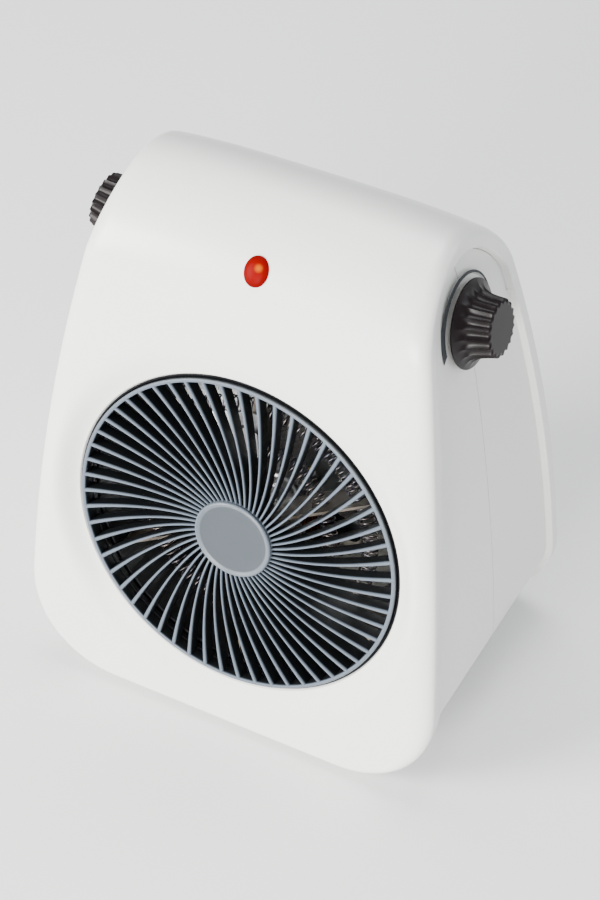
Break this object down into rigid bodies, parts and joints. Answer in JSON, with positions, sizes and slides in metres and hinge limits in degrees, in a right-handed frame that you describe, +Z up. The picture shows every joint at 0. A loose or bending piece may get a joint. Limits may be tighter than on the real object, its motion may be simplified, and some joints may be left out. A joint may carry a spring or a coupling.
{
  "type": "space heater",
  "caption": "Compact upright fan heater with a round spiral-blade grille, side control knobs, and a coiled-wire element and axial fan inside.",
  "frame": {"origin": "middle of the footprint, on the surface the feet stand on", "axes": "+Z up, +X to the right seen from the front, front face towards -Y"},
  "size_m": [0.2088, 0.144, 0.2577],
  "materials": {
    "shell": "satin injection-moulded white",
    "grille": "satin blue-grey moulding",
    "dark": "satin black",
    "knob": "semi-gloss dark brown-black",
    "lens": "clear-gloss red",
    "glass": "clear",
    "steel": "zinc plated",
    "aluminium": "pressed sheet",
    "lamination": "oiled laminations",
    "copper": "enamelled copper wire",
    "wire": "dull heat-tinted resistance wire",
    "mica": "layered mica board",
    "brass": "turned",
    "ceramic": "unglazed white",
    "rubber": "matt black",
    "plastic": "moulded black"
  },
  "bodies": {
    "housing": {"front_cover": "shell", "rear_cover": "shell", "base_plate": "shell", "front_grille": "grille", "grille_hub_cap": "grille", "grille_bezel": "dark", "indicator_lens": "lens", "neon_lamp": "glass", "lamp_holder": "plastic", "thermostat_body": "ceramic", "selector_body": "plastic", "thermostat_plate": "steel", "selector_plate": "steel", "thermostat_nut": "brass", "selector_nut": "brass", "air_duct": "steel", "mica_frame": "mica", "heating_coil_inner": "wire", "heating_coil_outer": "wire", "thermal_cutout": "aluminium", "thermal_fuse": "ceramic", "motor_stator": "lamination", "motor_winding": "copper", "motor_bracket_front": "aluminium", "motor_bracket_rear": "aluminium", "bearing_front": "brass", "bearing_rear": "brass", "motor_strap": "steel", "motor_bolt_left": "steel", "motor_bolt_right": "steel", "bolt_nut_left": "steel", "bolt_nut_right": "steel", "terminal_block": "ceramic", "cord_bushing": "rubber", "base_screw_front": "steel", "base_screw_rear": "steel", "housing_screw_lower_left": "steel", "housing_screw_lower_right": "steel", "housing_screw_upper_left": "steel", "housing_screw_upper_right": "steel", "foot_front_left": "rubber", "foot_front_right": "rubber", "foot_rear_left": "rubber", "foot_rear_right": "rubber"},
    "fan_rotor": {"fan_impeller": "aluminium", "impeller_clip": "steel", "motor_shaft": "steel", "motor_rotor": "lamination"},
    "thermostat_control": {"thermostat_knob": "knob", "thermostat_spindle": "steel"},
    "selector_control": {"selector_knob": "knob", "selector_spindle": "steel"}
  },
  "joints": [
    {"name": "fan_spin", "type": "hinge", "parent": "housing", "child": "fan_rotor", "pos_m": [0, -0.00955, 0.09989], "axis": [0, -0.9889, 0.1484], "continuous": true},
    {"name": "thermostat_turn", "type": "hinge", "parent": "housing", "child": "thermostat_control", "pos_m": [0.08072, 0.0028, 0.2163], "axis": [0.983, 0, 0.1833], "range_deg": [-270, 0]},
    {"name": "selector_turn", "type": "hinge", "parent": "housing", "child": "selector_control", "pos_m": [-0.08072, 0.0028, 0.2163], "axis": [-0.983, 0, 0.1833], "range_deg": [-270, 0]}
  ]
}
